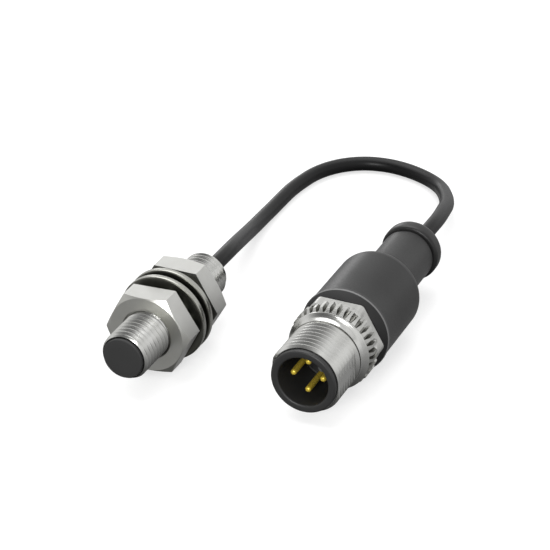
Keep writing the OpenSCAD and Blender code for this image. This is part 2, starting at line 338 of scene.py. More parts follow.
@dataclass(frozen=True)
class BoardLaminate:
    """Glass-epoxy board under green solder resist: paler tracks stand a little proud."""

    name: str
    colour: str
    track: str
    track_mm: float
    cells: float = 4.0
    track_part: float = 0.04
    proud_mm: float = 0.03

    def build(self) -> Material:
        """Returns the finished material."""
        material, tree = new_material(self.name)
        look = {
            "Vector": add_node(tree, "TexCoord").outputs["Object"],
            "Scale": 1 / (self.track_mm * MM * self.cells),
            "Color1": linear(self.colour),
            "Color2": linear(self.colour),
            "Mortar": linear(self.track),
            "Mortar Size": self.track_part,
        }
        cells = add_node(tree, "TexBrick", look)
        inputs = {"Base Color": cells.outputs["Color"], "Coat Weight": 0.4}
        add_surface(tree, cells.outputs["Fac"], self.proud_mm, 0.35, inputs)
        return material


@dataclass(frozen=True)
class CoreInsulation:
    """Extruded core insulation: the top core brown, and of the lower two one blue, one black."""

    name: str
    axis: CentreLine
    brown: str = "#6b4526"
    blue: str = "#2b4f9a"
    black: str = "#26262a"
    grain_mm: float = 0.1
    depth_mm: float = 0.003
    # How far below the axis the two lower cores begin
    below_mm: float = 0.02

    def build(self) -> Material:
        """Returns the finished material."""
        material, tree = new_material(self.name)
        spot = add_node(tree, "TexCoord").outputs["Object"]
        part = add_node(tree, "SeparateXYZ", {0: spot})
        sides = self.split(tree, part.outputs["X"], self.axis.x, self.black, self.blue)
        border = self.axis.z - self.below_mm
        tone = self.split(tree, part.outputs["Z"], border, self.brown, sides)
        look = {"Vector": spot, "Scale": 1 / (self.grain_mm * MM)}
        grain = add_node(tree, "TexNoise", look).outputs[0]
        add_surface(tree, grain, self.depth_mm, 0.38, {"Base Color": tone})
        return material

    def split(
        self, tree: Tree, part: Socket, border: float, above: str, below: str | Socket
    ) -> Socket:
        """Gives one tone above a border and another below it.

        Args:
            tree: The material's node tree.
            part: The place along one axis, in metres.
            border: Where the tone changes.
            above: Colour above the border.
            below: Colour below the border, or the socket that gives it.

        Returns:
            The tone.
        """
        limits = {0: part, 1: border * MM}
        under = add_node(tree, "Math", limits, operation="LESS_THAN").outputs[0]
        lower = linear(below) if isinstance(below, str) else below
        tones = {0: under, 6: linear(above), 7: lower}
        return add_node(tree, "Mix", tones, data_type="RGBA").outputs[2]


# ---- meshes ----


def even_angles(count: int) -> list[float]:
    """Returns angles evenly round a turn, the first at 0."""
    return [360 * i / count for i in range(count)]


def curve(
    centre: tuple[float, float], size: tuple[float, float], start: float, end: float, steps: int
) -> Section:
    """Returns points along an elliptical arc of a section.

    Args:
        centre: Radius and distance of the arc's centre.
        size: The arc's half widths across and along.
        start: First angle, where 0 points away from the axis and 90 along it.
        end: Last angle.
        steps: Number of straight pieces.

    Returns:
        Radius and distance of each point.
    """
    turns = [math.radians(start + (end - start) * i / steps) for i in range(steps + 1)]
    return [
        (centre[0] + size[0] * math.cos(t), centre[1] + size[1] * math.sin(t))
        for t in turns
    ]


class Draft:
    """Points and faces of one piece before it becomes a Blender object."""

    def __init__(self, line: CentreLine) -> None:
        """Starts an empty piece round an axis."""
        self.line = line
        self.shape = bmesh.new()

    def revolve(
        self,
        angles: Sequence[float],
        section: Callable[[float], Section],
        seam_shift: int = 0,
        closed: bool = False,
    ) -> None:
        """Adds a skin of sections side by side round the axis.

        Args:
            angles: Angle of each section, rising through one turn.
            section: Gives radius and distance of each point at an angle.
            seam_shift: Rows by which the last section is ahead of the first, for a helix.
            closed: Whether each section's last point joins its first.
        """
        columns = [
            [self.shape.verts.new(self.line.point(r, angle, s)) for r, s in section(angle)]
            for angle in angles
        ]
        rows = len(columns[0])
        for c, column in enumerate(columns):
            shift = seam_shift if c == len(columns) - 1 else 0
            after = columns[(c + 1) % len(columns)]
            for r in range(rows - shift if closed else rows - 1 - shift):
                self.shape.faces.new(
                    (
                        column[r + shift],
                        column[(r + 1 + shift) % rows],
                        after[(r + 1) % rows],
                        after[r],
                    )
                )

    def block(self, corners: Sequence[Vector]) -> None:
        """Adds a six-faced solid from its corners, one end's four and then the other's."""
        points = [self.shape.verts.new(corner) for corner in corners]
        for face in (
            (0, 1, 2, 3),
            (7, 6, 5, 4),
            (0, 4, 5, 1),
            (1, 5, 6, 2),
            (2, 6, 7, 3),
            (3, 7, 4, 0),
        ):
            self.shape.faces.new([points[i] for i in face])

    def make(
        self,
        name: str,
        materials: Sequence[Material],
        crease: float = 32.0,
        zone: Callable[[Vector, Vector], int] | None = None,
    ) -> Piece:
        """Welds the piece and turns it into an object, in metres.

        Args:
            name: Name of the object.
            materials: Its materials.
            crease: Angle between faces above which an edge stays sharp.
            zone: Gives the number of a face's material from its middle and its normal.

        Returns:
            The new object.
        """
        bmesh.ops.remove_doubles(self.shape, verts=self.shape.verts, dist=WELD_MM)
        bmesh.ops.dissolve_degenerate(self.shape, edges=self.shape.edges, dist=WELD_MM / 5)
        bmesh.ops.recalc_face_normals(self.shape, faces=self.shape.faces)
        if zone is not None:
            for face in self.shape.faces:
                face.material_index = zone(face.calc_center_median(), face.normal)
        bmesh.ops.scale(self.shape, vec=(MM, MM, MM), verts=self.shape.verts)
        mesh = bpy.data.meshes.new(name)
        self.shape.to_mesh(mesh)
        self.shape.free()
        for material in materials:
            mesh.materials.append(material)
        mesh.shade_smooth()
        mesh.set_sharp_from_angle(angle=math.radians(crease))
        piece = bpy.data.objects.new(name, mesh)
        bpy.context.scene.collection.objects.link(piece)
        return piece


def soften(piece: Piece, width: float, angle: float = 25.0) -> None:
    """Breaks a piece's sharp edges with a small rounded bevel.

    Args:
        piece: The object.
        width: Width of the bevel.
        angle: Angle between faces above which an edge is rounded.
    """
    bevel = piece.modifiers.new("broken edges", "BEVEL")
    bevel.width = width * MM
    bevel.segments = 2
    bevel.limit_method = "ANGLE"
    bevel.angle_limit = math.radians(angle)
    bevel.harden_normals = True


def place(piece: Piece, body: str, slot: str, *nodes: str) -> None:
    """Ties a new piece to its body, hides the CAD nodes that it stands for and logs them."""
    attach(piece, body)
    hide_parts(*nodes)
    LOG.info("made %s for %s", piece.name, ", ".join(nodes))


@dataclass(frozen=True)
class Thread:
    """A right-handed helical thread, in phase with every other thread on its axis."""

    crest_r: float
    root_r: float
    start: float
    end: float
    lead_in: float
    lead_out: float
    inside: bool = False
    phase: float = 0.0
    pitch: float = 1.0
    # Along one pitch: place, and depth below the crest from 0 to 1
    tooth: tuple[tuple[float, float], ...] = (
        (0.0, 0.0), (0.1, 0.0), (0.16, 0.1), (0.39, 0.86), (0.47, 1.0), (0.59, 1.0),
        (0.67, 0.86), (0.94, 0.1),
    )

    @property
    def rows_per_turn(self) -> int:
        """Returns how many rows one pitch takes."""
        return len(self.tooth)

    def ends(self) -> tuple[float, float]:
        """Returns the radii at the thread's two ends, after its chamfers."""
        sign = 1 if self.inside else -1
        return self.crest_r + sign * self.lead_in, self.crest_r + sign * self.lead_out

    def section(self, angle: float) -> Section:
        """Gives the thread's outline at an angle.

        Args:
            angle: Angle round the axis.

        Returns:
            Radius and distance of each point, clamped to the thread's ends.
        """
        first = math.floor(self.start / self.pitch) - 1
        last = math.ceil(self.end / self.pitch) + 2
        front_r, back_r = self.ends()
        points: Section = []
        for turn in range(first, last + 1):
            for step, depth in self.tooth:
                along = self.pitch * (turn + step + self.phase - angle / 360)
                radius = self.crest_r - depth * (self.crest_r - self.root_r)
                along = min(max(along, self.start), self.end)
                if self.inside:
                    limit = max(front_r - (along - self.start), back_r - (self.end - along))
                    radius = max(radius, limit)
                else:
                    limit = min(front_r + (along - self.start), back_r + (self.end - along))
                    radius = min(radius, limit)
                points.append((radius, along))
        return points


# ---- sensor ----


@dataclass
class Barrel:
    """Threaded barrel with its sensing cap and its cable bush."""

    metal: Material
    cap_plastic: Material
    bush_plastic: Material
    rim_y: float = -14.5
    face_y: float = -15.0
    end_y: float = 15.0
    thread_r: float = 4.0
    root_r: float = 3.5
    chamfer: float = 0.35
    bore_r: float = 3.3
    bore_edge: float = 0.1
    fit: float = 0.05
    rim_edge: float = 0.04
    cap_r: float = 3.4
    skirt_r: float = 2.86
    cap_t: float = 0.6
    cap_edge: float = 0.16
    cap_depth: float = 2.0
    bush_y0: float = 11.5
    bush_r: float = 3.25
    bush_edge: float = 0.08
    nose_round: float = 0.15
    nose_y: float = 16.1
    nose_r: float = 1.75
    tip_r: float = 1.42
    segments: int = 96

    def build(self) -> None:
        """Builds the barrel, the cap and the bush."""
        self.barrel()
        self.cap()
        self.bush()

    def barrel(self) -> None:
        """Builds the barrel with its helical thread."""
        thread = Thread(
            self.thread_r, self.root_r, self.rim_y, self.end_y, self.chamfer, self.chamfer
        )
        edge_r = self.thread_r - self.chamfer
        angles = even_angles(self.segments)
        draft = Draft(SENSOR_LINE)
        draft.revolve(angles, thread.section, seam_shift=thread.rows_per_turn)
        mouth = self.cap_r + self.fit
        inner = [
            (edge_r, self.rim_y),
            (mouth + self.rim_edge, self.rim_y),
            (mouth, self.rim_y + self.rim_edge),
            (mouth, self.rim_y + self.cap_depth),
            (self.bore_r, self.rim_y + self.cap_depth),
            (self.bore_r, self.end_y - self.bore_edge),
            (self.bore_r + self.bore_edge, self.end_y),
            (edge_r, self.end_y),
        ]
        draft.revolve(angles, lambda angle: inner)
        piece = draft.make("threaded_barrel", [self.metal])
        place(piece, "sensor", "nickel_brass", "sensor_barrel")

    def cap(self) -> None:
        """Builds the sensing cap, with a rounded edge and a skirt inside the barrel."""
        inner_y = self.face_y + self.cap_t
        edge = self.cap_edge
        outline = [(0.0, self.face_y), (self.cap_r * 0.6, self.face_y)]
        outline += curve((self.cap_r - edge, self.face_y + edge), (edge, edge), -90, 0, 4)
        outline += [
            (self.cap_r, self.rim_y + self.cap_depth),
            (self.skirt_r, self.rim_y + self.cap_depth),
            (self.skirt_r, inner_y),
            (0.0, inner_y),
        ]
        draft = Draft(SENSOR_LINE)
        draft.revolve(even_angles(self.segments), lambda angle: outline)
        piece = draft.make("sensing_face_cap", [self.cap_plastic], crease=40)
        place(piece, "sensor", "cap_plastic", "sensing_cap")

    def bush(self) -> None:
        """Builds the cable bush with its short tapered nose."""
        shelf_y = self.end_y - self.bore_edge
        edge, round_r = self.bush_edge, self.nose_round
        outline = [
            (0.0, self.bush_y0),
            (self.bush_r, self.bush_y0),
            (self.bush_r, shelf_y - edge),
            (self.bush_r - edge, shelf_y),
            (self.nose_r + round_r, shelf_y),
            (self.nose_r, shelf_y + round_r),
            (self.tip_r + self.fit, self.nose_y - self.fit),
            (self.tip_r, self.nose_y),
            (0.0, self.nose_y),
        ]
        draft = Draft(SENSOR_LINE)
        draft.revolve(even_angles(self.segments), lambda angle: outline)
        piece = draft.make("cable_entry_bush", [self.bush_plastic], crease=50)
        place(piece, "sensor", "bush_plastic", "cable_bush")


class Side(Enum):
    """Which way a nut's chamfered side, or a washer's toothed side, looks."""

    FRONT = -1
    REAR = 1


@dataclass
class HexNut:
    """Hexagon nut, chamfered on one side, with an internal thread."""

    body: str
    node: str
    side: Side
    y0: float
    flats: Material
    faces: Material
    height: float = 4.0
    across_flats: float = 13.0
    roll: float = 3.0
    chamfer_r: float = 6.4
    bore_r: float = 4.05
    mouth_r: float = 4.35
    root_r: float = 3.55
    edge: float = 0.07
    chamfer_slope: float = 30.0
    segments: int = 144

    def hex_r(self, angle: float) -> float:
        """Returns the hexagon's radius at an angle."""
        off = (angle - self.roll) % 60 - 30
        return self.across_flats / 2 / math.cos(math.radians(off))

    def section(self, angle: float) -> Section:
        """Returns the outline from one mouth of the bore, round the outside, to the other."""
        outer = self.hex_r(angle)
        crown = min(outer, self.chamfer_r)
        drop = (outer - crown) * math.tan(math.radians(self.chamfer_slope))
        front, back = self.y0, self.y0 + self.height
        mouth = self.mouth_r
        points = [(mouth, front), (crown, front), (outer, front + drop)]
        points += [(outer, back), (mouth, back)]
        if self.side is Side.REAR:
            points = [(r, front + back - y) for r, y in reversed(points)]
        return points

    def build(self) -> None:
        """Builds the nut."""
        mouth = self.mouth_r - self.bore_r
        thread = Thread(
            self.bore_r, self.root_r, self.y0, self.y0 + self.height, mouth, mouth, inside=True
        )
        angles = sorted((self.roll + a) % 360 for a in even_angles(self.segments))
        draft = Draft(SENSOR_LINE)
        draft.revolve(angles, self.section)
        draft.revolve(angles, thread.section, seam_shift=thread.rows_per_turn)
        # End faces take the second material: real turned rings, and a darker tone that is painted
        # shade
        piece = draft.make(
            self.node + "_hexagon",
            [self.flats, self.faces],
            zone=lambda middle, normal: int(abs(normal.y) > 0.3),
        )
        soften(piece, self.edge)
        place(piece, self.body, "nickel_nut", self.node)


@dataclass
class ToothWasher:
    """Lock washer: a rounded flat rim with teeth that twist out of its inner edge."""

    body: str
    node: str
    side: Side
    y0: float
    metal: Material
    faces: Material
    height: float = 2.6
    rim_t: float = 1.1
    rim_r: float = 7.5
    inner_r: float = 5.2
    tooth_in_r: float = 4.3
    tooth_out_r: float = 5.5
    tooth_w: float = 0.7
    tilt: float = 38.0
    teeth: int = 10
    tooth_root: float = 0.1
    corner: float = 0.3
    inner_edge: float = 0.12
    tooth_edge: float = 0.06
    segments: int = 128

    def along(self, height: float) -> float:
        """Returns the distance along the axis of a height above the rim's flat side."""
        if self.side is Side.REAR:
            return self.y0 + height
        return self.y0 + self.height - height

    def build(self) -> None:
        """Builds the rim and its teeth."""
        draft = Draft(SENSOR_LINE)
        c, edge = self.corner, self.inner_edge
        rim = [(self.inner_r, edge), (self.inner_r + edge, 0.0)]
        rim += curve((self.rim_r - c, c), (c, c), -90, 0, 4)
        rim += curve((self.rim_r - c, self.rim_t - c), (c, c), 0, 90, 4)
        rim += [(self.inner_r + edge, self.rim_t), (self.inner_r, self.rim_t - edge)]
        outline = [(r, self.along(h)) for r, h in rim]
        draft.revolve(even_angles(self.segments), lambda angle: outline, closed=True)
        for angle in even_angles(self.teeth):
            self.tooth(draft, angle)
        # Faces that look along the axis take the second material, which is darkened as painted
        # shade
        piece = draft.make(
            self.node + "_toothed",
            [self.metal, self.faces],
            zone=lambda middle, normal: int(abs(normal.y) > 0.8),
        )
        soften(piece, self.tooth_edge, angle=35)
        place(piece, self.body, "washer_steel", self.node)

    def tooth(self, draft: Draft, angle: float) -> None:
        """Adds one leaning tooth.

        Args:
            draft: The washer's draft.
            angle: Angle of the tooth round the axis.
        """
        half = self.tooth_w / 2 / math.cos(math.radians(self.tilt))
        lean = math.tan(math.radians(self.tilt))
        low, high = self.tooth_root, self.height
        ends = []
        for radius in (self.tooth_out_r, self.tooth_in_r):
            for height, side in ((low, -half), (low, half), (high, half), (high, -half)):
                swing = side + (height - self.height / 2) * lean
                turn = angle + math.degrees(swing / radius) * (
                    1 if self.side is Side.FRONT else -1
                )
                ends.append(draft.line.point(radius, turn, self.along(height)))
        draft.block(ends)


# ---- cable ----


@dataclass
class Cable:
    """Round cable: out of the barrel, down to the surface, round in one loop, up to the plug."""

    sheath: Material
    diameter: float = 2.7
    sides: int = 24
    steps: int = 6
    carried_nodes: tuple[str, ...] = (
        "inner_mould", "plug_cores", "retaining_ring", "sensor_cores"
    )
    route: tuple[Point, ...] = (
        (0, 16.1, 7.5), (0, 20, 7.5), (-0.3, 24, 7.1), (-1.0, 28, 6.2), (-1.9, 32, 5.0),
        (-2.8, 36, 3.8), (-3.6, 40, 2.7), (-4.1, 44, 2.0), (-4.4, 48, 1.6), (-4.5, 52, 1.4),
        (-4.5, 56, 1.4), (-4.4, 60, 1.4), (-3.9, 64, 1.4), (-3.0, 68, 1.4),
        (-1.2, 71.6, 1.4), (1.4, 74.4, 1.4), (4.6, 76.2, 1.4), (8.4, 76.9, 1.4),
        (12.2, 76.5, 1.4), (15.8, 75.3, 1.4), (18.8, 73.5, 1.5), (21.2, 70.9, 1.9),
        (23.1, 67.4, 2.8), (24.8, 63.6, 3.9), (26.3, 59.4, 5.0), (27.3, 54.8, 6.1),
        (28.0, 50.4, 6.9), (28.3, 46.4, 7.4), (28.3, 42.4, 7.5), (28.3, 38.5, 7.5),
    )

    def centre_line(self) -> list[Vector]:
        """Returns a smooth course through the route's points."""
        points = [Vector(p) for p in self.route]
        points = [2 * points[0] - points[1], *points, 2 * points[-1] - points[-2]]
        course: list[Vector] = []
        for i in range(1, len(points) - 2):
            before, a, b, after = points[i - 1 : i + 3]
            for step in range(self.steps):
                t = step / self.steps
                course.append(
                    0.5
                    * (
                        2 * a
                        + (b - before) * t
                        + (2 * before - 5 * a + 4 * b - after) * t**2
                        + (3 * a - before - 3 * b + after) * t**3
                    )
                )
        return [*course, points[-2]]

    def build(self) -> Piece:
        """Builds the cable and returns it."""
        course = self.centre_line()
        draft = Draft(SENSOR_LINE)
        shape = draft.shape
        radius = self.diameter / 2
        rings = []
        for i, middle in enumerate(course):
            ahead = course[min(i + 1, len(course) - 1)]
            behind = course[max(i - 1, 0)]
            heading = (ahead - behind).normalized()
            side = heading.cross(Vector((0, 0, 1))).normalized()
            up = side.cross(heading)
            rings.append(
                [
                    shape.verts.new(
                        middle + radius * (side * math.cos(turn) + up * math.sin(turn))
                    )
                    for turn in (math.tau * k / self.sides for k in range(self.sides))
                ]
            )
        for ring, following in zip(rings, rings[1:]):
            for k in range(self.sides):
                n = (k + 1) % self.sides
                shape.faces.new((ring[k], ring[n], following[n], following[k]))
        shape.faces.new(rings[0])
        shape.faces.new(rings[-1])
        piece = draft.make("sensor_cable", [self.sheath], crease=60)
        place(piece, "sensor", "cable_sheath", "cable")
        return piece

    def declare(self) -> None:
        course = self.centre_line()
        length = sum((b - a).length for a, b in zip(course, course[1:]))
        LOG.info("cable length %.1f mm", length)
        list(self.carried_nodes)


# ---- plug ----


@dataclass
class PlugGrip:
    """Moulded grip: front cone, body, rounded shoulder, neck, groove and end ring."""

    skin: Material
    # The front cone's material, darkened as painted shade
    cone: Material
    # The front rim's material, paler as a painted highlight
    rim: Material
    front_s: float = 15.3
    front_r: float = 6.6
    rim_s: float = 16.9
    rim_r: float = 7.5
    # Round the front rim: how far inside its radius, and how far behind its place
    rim_shape: tuple[tuple[float, float], ...] = ((0.1, -0.14), (0.02, 0), (0, 0.14), (0.06, 0.4))
    rim_fall: float = 1.0
    edge: float = 0.1
    body_r: float = 7.34
    body_s: float = 22.9
    shoulder_s: float = 30.4
    shoulder_len: float = 2.6
    neck_r: float = 4.55
    groove_s: float = 44.9
    groove_r: float = 4.2
    ring_r: float = 5.1
    end_s: float = 48.3
    tail_round: tuple[float, float] = (1.6, 1.5)
    ring_round: tuple[float, float] = (0.5, 0.6)
    cavity_r: float = 4.8
    cavity_s: float = 30.0
    channel_r: float = 1.42
    segments: int = 128

    def build(self) -> Piece:
        """Builds the grip and returns it."""
        outline: Section = [
            (self.cavity_r, self.front_s),
            (self.front_r - self.edge, self.front_s),
            (self.front_r, self.front_s + 0.06),
            *((self.rim_r - r, self.rim_s + s) for r, s in self.rim_shape),
            (self.body_r, self.rim_s + self.rim_fall),
            (self.body_r, self.body_s),
        ]
        width = self.body_r - self.neck_r
        outline += curve((self.neck_r, self.shoulder_s), (width, self.shoulder_len), 0, 84, 24)
        meet_s = self.shoulder_s + self.shoulder_len
        # A soft corner at each end of the neck
        outline += [
            (self.neck_r + 0.06, meet_s + 0.04),
            (self.neck_r, meet_s + 0.25),
            (self.neck_r, self.groove_s - 0.7),
            (self.neck_r - 0.03, self.groove_s - 0.4),
            (self.groove_r + 0.04, self.groove_s - 0.12),
            (self.groove_r, self.groove_s),
            (self.groove_r + 0.06, self.groove_s + 0.12),
        ]
        ring, tail = self.ring_round, self.tail_round
        outline += curve((self.ring_r - ring[0], self.groove_s + 0.75), ring, -80, 0, 5)
        outline += curve((self.ring_r - tail[0], self.end_s - tail[1]), tail, 0, 90, 8)
        outline += [
            (self.channel_r + self.edge, self.end_s),
            (self.channel_r, self.end_s - self.edge),
            (self.channel_r, self.cavity_s),
            (self.cavity_r, self.cavity_s),
            (self.cavity_r, self.front_s + self.edge),
        ]
        draft = Draft(PLUG_LINE)
        draft.revolve(even_angles(self.segments), lambda angle: outline, closed=True)
        piece = draft.make(
            "moulded_grip", [self.skin, self.cone, self.rim], crease=38, zone=self.zone
        )
        place(piece, "sensor", "grip_plastic", "plug_grip")
        return piece

    def zone(self, middle: Vector, normal: Vector) -> int:
        """Returns a face's material: 0 for the skin, 1 for the front cone with painted shade, 2
        for its rim with a painted highlight.
        """
        behind = middle.y - PLUG_LINE.y - self.rim_s
        # Faces ahead of the rim get painted shade, and the thin strip at the rim a painted
        # highlight
        if behind < -0.15:
            return 1
        return 2 if behind < 0.1 else 0


@dataclass
class ContactCarrier:
    """Contact carrier with its socket and key rib, and the four contacts that stand in it."""

    plastic: Material
    key_light_plastic: Material
    gold: Material
    radius: float = 5.4
    socket_r: float = 4.17
    socket_depth: float = 9.3
    length: float = 16.0
    tail_r: float = 4.75
    tail_s: float = 15.0
    groove_r: float = 5.0
    groove_s0: float = 11.45
    groove_s1: float = 12.35
    edge: float = 0.28
    key_r: float = 0.6
    key_s: float = 0.55
    key_at: float = 45.0
    # How far the key's middle lies inside the socket's wall
    key_inset: float = 0.15
    key_edge: float = 0.15
    pin_r: float = 0.5
    pin_round: float = 0.42
    pin_ring_r: float = 3.5 / math.sqrt(2)
    pin_tip_s: float = 1.93
    cup_r: float = 0.7
    cup_s: float = 19.5
    cup_bore_r: float = 0.36
    cup_depth: float = 2.0
    segments: int = 128
    pin_angles: tuple[int, ...] = (180, 90, 0, 270)

    def build(self) -> list[Piece]:
        """Builds the carrier and the contacts and returns them."""
        pieces = [self.carrier()]
        pieces += [self.pin(i + 1, angle) for i, angle in enumerate(self.pin_angles)]
        return pieces

    def carrier(self) -> Piece:
        """Returns the carrier with its key rib."""
        edge, floor_edge = self.edge, 0.15
        outline: Section = [
            (0.0, self.socket_depth),
            (self.socket_r - floor_edge, self.socket_depth),
            (self.socket_r, self.socket_depth - floor_edge),
            (self.socket_r, edge),
        ]
        outline += curve((self.socket_r + edge, edge), (edge, edge), 180, 270, 4)
        outline += curve((self.radius - edge, edge), (edge, edge), -90, 0, 4)
        outline += [
            (self.radius, self.groove_s0),
            (self.groove_r, self.groove_s0),
            (self.groove_r, self.groove_s1),
            (self.radius, self.groove_s1),
            (self.radius, self.tail_s),
            (self.tail_r, self.tail_s),
            (self.tail_r, self.length),
            (0.0, self.length),
        ]
        draft = Draft(PLUG_LINE)
        draft.revolve(even_angles(self.segments), lambda angle: outline)
        self.key(draft)
        key_end_painted_light = self.key_point(self.key_s)
        # Faces near the key rib's end get the paler material: a painted highlight
        piece = draft.make(
            "keyed_contact_carrier",
            [self.plastic, self.key_light_plastic],
            crease=40,
            zone=lambda middle, normal: int((middle - key_end_painted_light).length < self.key_r),
        )
        place(piece, "sensor", "carrier_plastic", "contact_carrier")
        return piece

    def key_point(self, along: float) -> Vector:
        """Returns the key rib's middle at a distance from the plug's start."""
        return PLUG_LINE.point(self.socket_r - self.key_inset, self.key_at, along)

    def key(self, draft: Draft) -> None:
        """Adds the rounded key rib inside the socket's wall."""
        middle = self.key_point(0.0)
        rib = Draft(CentreLine(middle.x, middle.y, middle.z))
        front, back = self.key_s, self.socket_depth + 0.2
        r, edge = self.key_r, self.key_edge
        outline = [(0.0, front), (r - edge, front), (r, front + edge), (r, back), (0.0, back)]
        rib.revolve(even_angles(24), lambda angle: outline)
        mesh = bpy.data.meshes.new("key rib")
        rib.shape.to_mesh(mesh)
        rib.shape.free()
        draft.shape.from_mesh(mesh)
        bpy.data.meshes.remove(mesh)

    def pin(self, number: int, angle: float) -> Piece:
        """Builds one contact.

        Args:
            number: The contact's number.
            angle: Its place round the plug's axis.

        Returns:
            The contact, with a rounded tip and a cup for its core.
        """
        middle = PLUG_LINE.point(self.pin_ring_r, angle, 0)
        r, tip, cup_edge = self.pin_r, self.pin_round, 0.08
        outline: Section = [(0.0, self.pin_tip_s)]
        outline += curve((r - tip, self.pin_tip_s + tip), (tip, tip), -84, 0, 7)
        outline += [
            (r, self.length),
            (self.cup_r, self.length),
            (self.cup_r, self.cup_s - cup_edge),
            (self.cup_r - cup_edge, self.cup_s),
            (self.cup_bore_r, self.cup_s),
            (self.cup_bore_r, self.cup_s - self.cup_depth + 0.1),
            (0.0, self.cup_s - self.cup_depth),
        ]
        draft = Draft(CentreLine(middle.x, PLUG_LINE.y, middle.z))
        draft.revolve(even_angles(40), lambda turn: outline)
        piece = draft.make(f"gold_contact_{number}", [self.gold], crease=40)
        place(piece, "sensor", "gold_contact", f"contact_pin_{number}")
        return piece


@dataclass
class CouplingScrew:
    """Coupling screw: thread with two flats, plain collar, knurl and blunted hexagon."""

    thread_metal: Material
    hex_metal: Material
    groove_shade_metal: Material
    front_s: float = 0.8
    thread_end: float = 8.9
    crest_r: float = 6.0
    root_r: float = 5.52
    lead_in: float = 0.4
    phase: float = 0.507
    flat_x: float = 5.5
    flat_s: tuple[float, float] = (0.5, 8.0)
    bore_r: float = 5.43
    collar_r0: float = 5.9
    # Hollow curve behind the thread: how far out and how far back each point lies
    fillet: tuple[tuple[float, float], ...] = ((0.08, 0.35), (0.22, 0.65), (0.42, 0.88))
    knurl_s0: float = 10.3
    knurl_s1: float = 13.4
    collar_r1: float = 6.85
    neck_r: float = 6.3
    neck_s: float = 10.5
    cone_len: float = 0.9
    tip_r: float = 7.15
    valley_r: float = 6.4
    grooves: int = 36
    hex_s0: float = 12.6
    hex_s1: float = 15.1
    across_flats: float = 13.0
    blunt_r: float = 7.36
    hex_chamfer: float = 0.25
    edge: float = 0.1
    groove_r: float = 6.1
    groove_s: tuple[float, float] = (11.3, 12.6)
    # Across one groove pitch: place, and height from the valley to the tip
    ridge: tuple[tuple[float, float], ...] = (
        (0.0, 0.0), (0.14, 0.03), (0.32, 1.0), (0.68, 1.0), (0.86, 0.03),
    )

    def angles(self) -> list[float]:
        """Returns the angles of the ridges' edges, with a valley at 0."""
        step = 360 / self.grooves
        return [step * (i + part) for i in range(self.grooves) for part, _ in self.ridge]

    def ridge_r(self, angle: float) -> float:
        """Returns the knurl's radius at one of its edges."""
        step = 360 / self.grooves
        part = angle % step / step
        nearest = min(self.ridge, key=lambda p: abs(p[0] - part))
        return self.valley_r + nearest[1] * (self.tip_r - self.valley_r)

    def hex_r(self, angle: float) -> float:
        """Returns the blunted hexagon's radius at an angle."""
        off = angle % 60 - 30
        return min(self.across_flats / 2 / math.cos(math.radians(off)), self.blunt_r)

    def threaded(self, angle: float) -> Section:
        """Returns the thread's outline at an angle, cut by the two flats."""
        thread = self.thread()
        across = abs(math.cos(math.radians(angle)))
        limit = self.flat_x / across if across > 0.1 else self.crest_r
        low, high = self.flat_s
        return [(min(r, limit) if low < s < high else r, s) for r, s in thread.section(angle)]

    def thread(self) -> Thread:
        """Returns the plug's thread."""
        return Thread(
            self.crest_r,
            self.root_r,
            self.front_s,
            self.thread_end,
            self.lead_in,
            0.0,
            phase=self.phase,
        )

    def outside(self, angle: float) -> Section:
        """Returns the outline behind the thread: collar, knurl, hexagon and bore."""
        ridge, hexagon = self.ridge_r(angle), self.hex_r(angle)
        both, edge = max(ridge, hexagon), self.edge
        edge_r = self.crest_r - self.lead_in
        rise = (ridge - self.valley_r) / (self.tip_r - self.valley_r)
        front = self.neck_s + 0.05 + self.cone_len * rise
        chamfer = 0.0 if both == ridge else self.hex_chamfer
        return [
            (self.crest_r, self.thread_end),
            (self.collar_r0, self.thread_end),
            *((self.collar_r0 + r, self.thread_end + s) for r, s in self.fillet),
            (self.collar_r1 - 0.14, self.knurl_s0 - 0.32),
            (self.collar_r1, self.knurl_s0 - 0.2),
            (self.collar_r1, self.knurl_s0 - 0.04),
            (self.neck_r, self.knurl_s0 + 0.02),
            (self.neck_r, self.neck_s),
            (self.valley_r, self.neck_s + 0.05),
            (ridge, front),
            (ridge, self.hex_s0),
            (both - chamfer, self.hex_s0),
            (both, self.hex_s0 + chamfer),
            (both, self.knurl_s1 - edge),
            (max(hexagon, both - edge), self.knurl_s1),
            (hexagon, self.knurl_s1),
            (hexagon, self.hex_s1 - edge),
            (hexagon - edge, self.hex_s1),
            (self.bore_r + edge, self.hex_s1),
            (self.bore_r, self.hex_s1 - edge),
            (self.bore_r, self.groove_s[1]),
            (self.groove_r, self.groove_s[1]),
            (self.groove_r, self.groove_s[0]),
            (self.bore_r, self.groove_s[0]),
            (self.bore_r, self.front_s + edge),
            (self.bore_r + 0.05, self.front_s),
            (edge_r, self.front_s),
        ]

    def build(self) -> Piece:
        """Builds the coupling screw and returns it."""
        draft = Draft(PLUG_LINE)
        draft.revolve(self.angles(), self.threaded, seam_shift=self.thread().rows_per_turn)
        draft.revolve(self.angles(), self.outside)
        piece = draft.make(
            "knurled_coupling_screw",
            [self.thread_metal, self.hex_metal, self.groove_shade_metal],
            crease=24,
            zone=self.zone,
        )
        place(piece, "coupling", "nickel_screw", "coupling_screw")
        return piece

    def zone(self, middle: Vector, normal: Vector) -> int:
        """Returns a face's material: 0 for the thread, 1 for the grip, 2 for the painted shade in
        the knurl's grooves.
        """
        s = middle.y - PLUG_LINE.y
        radius = math.hypot(middle.x - PLUG_LINE.x, middle.z - PLUG_LINE.z)
        # Faces sunk in the knurl's grooves get the material that carries painted shade
        sunk = self.groove_r + 0.05 < radius < self.tip_r - 0.2
        if sunk and self.neck_s < s < self.hex_s0 and normal.y > -0.3:
            return 2
        return int(s > self.knurl_s0)


# ---- room ----


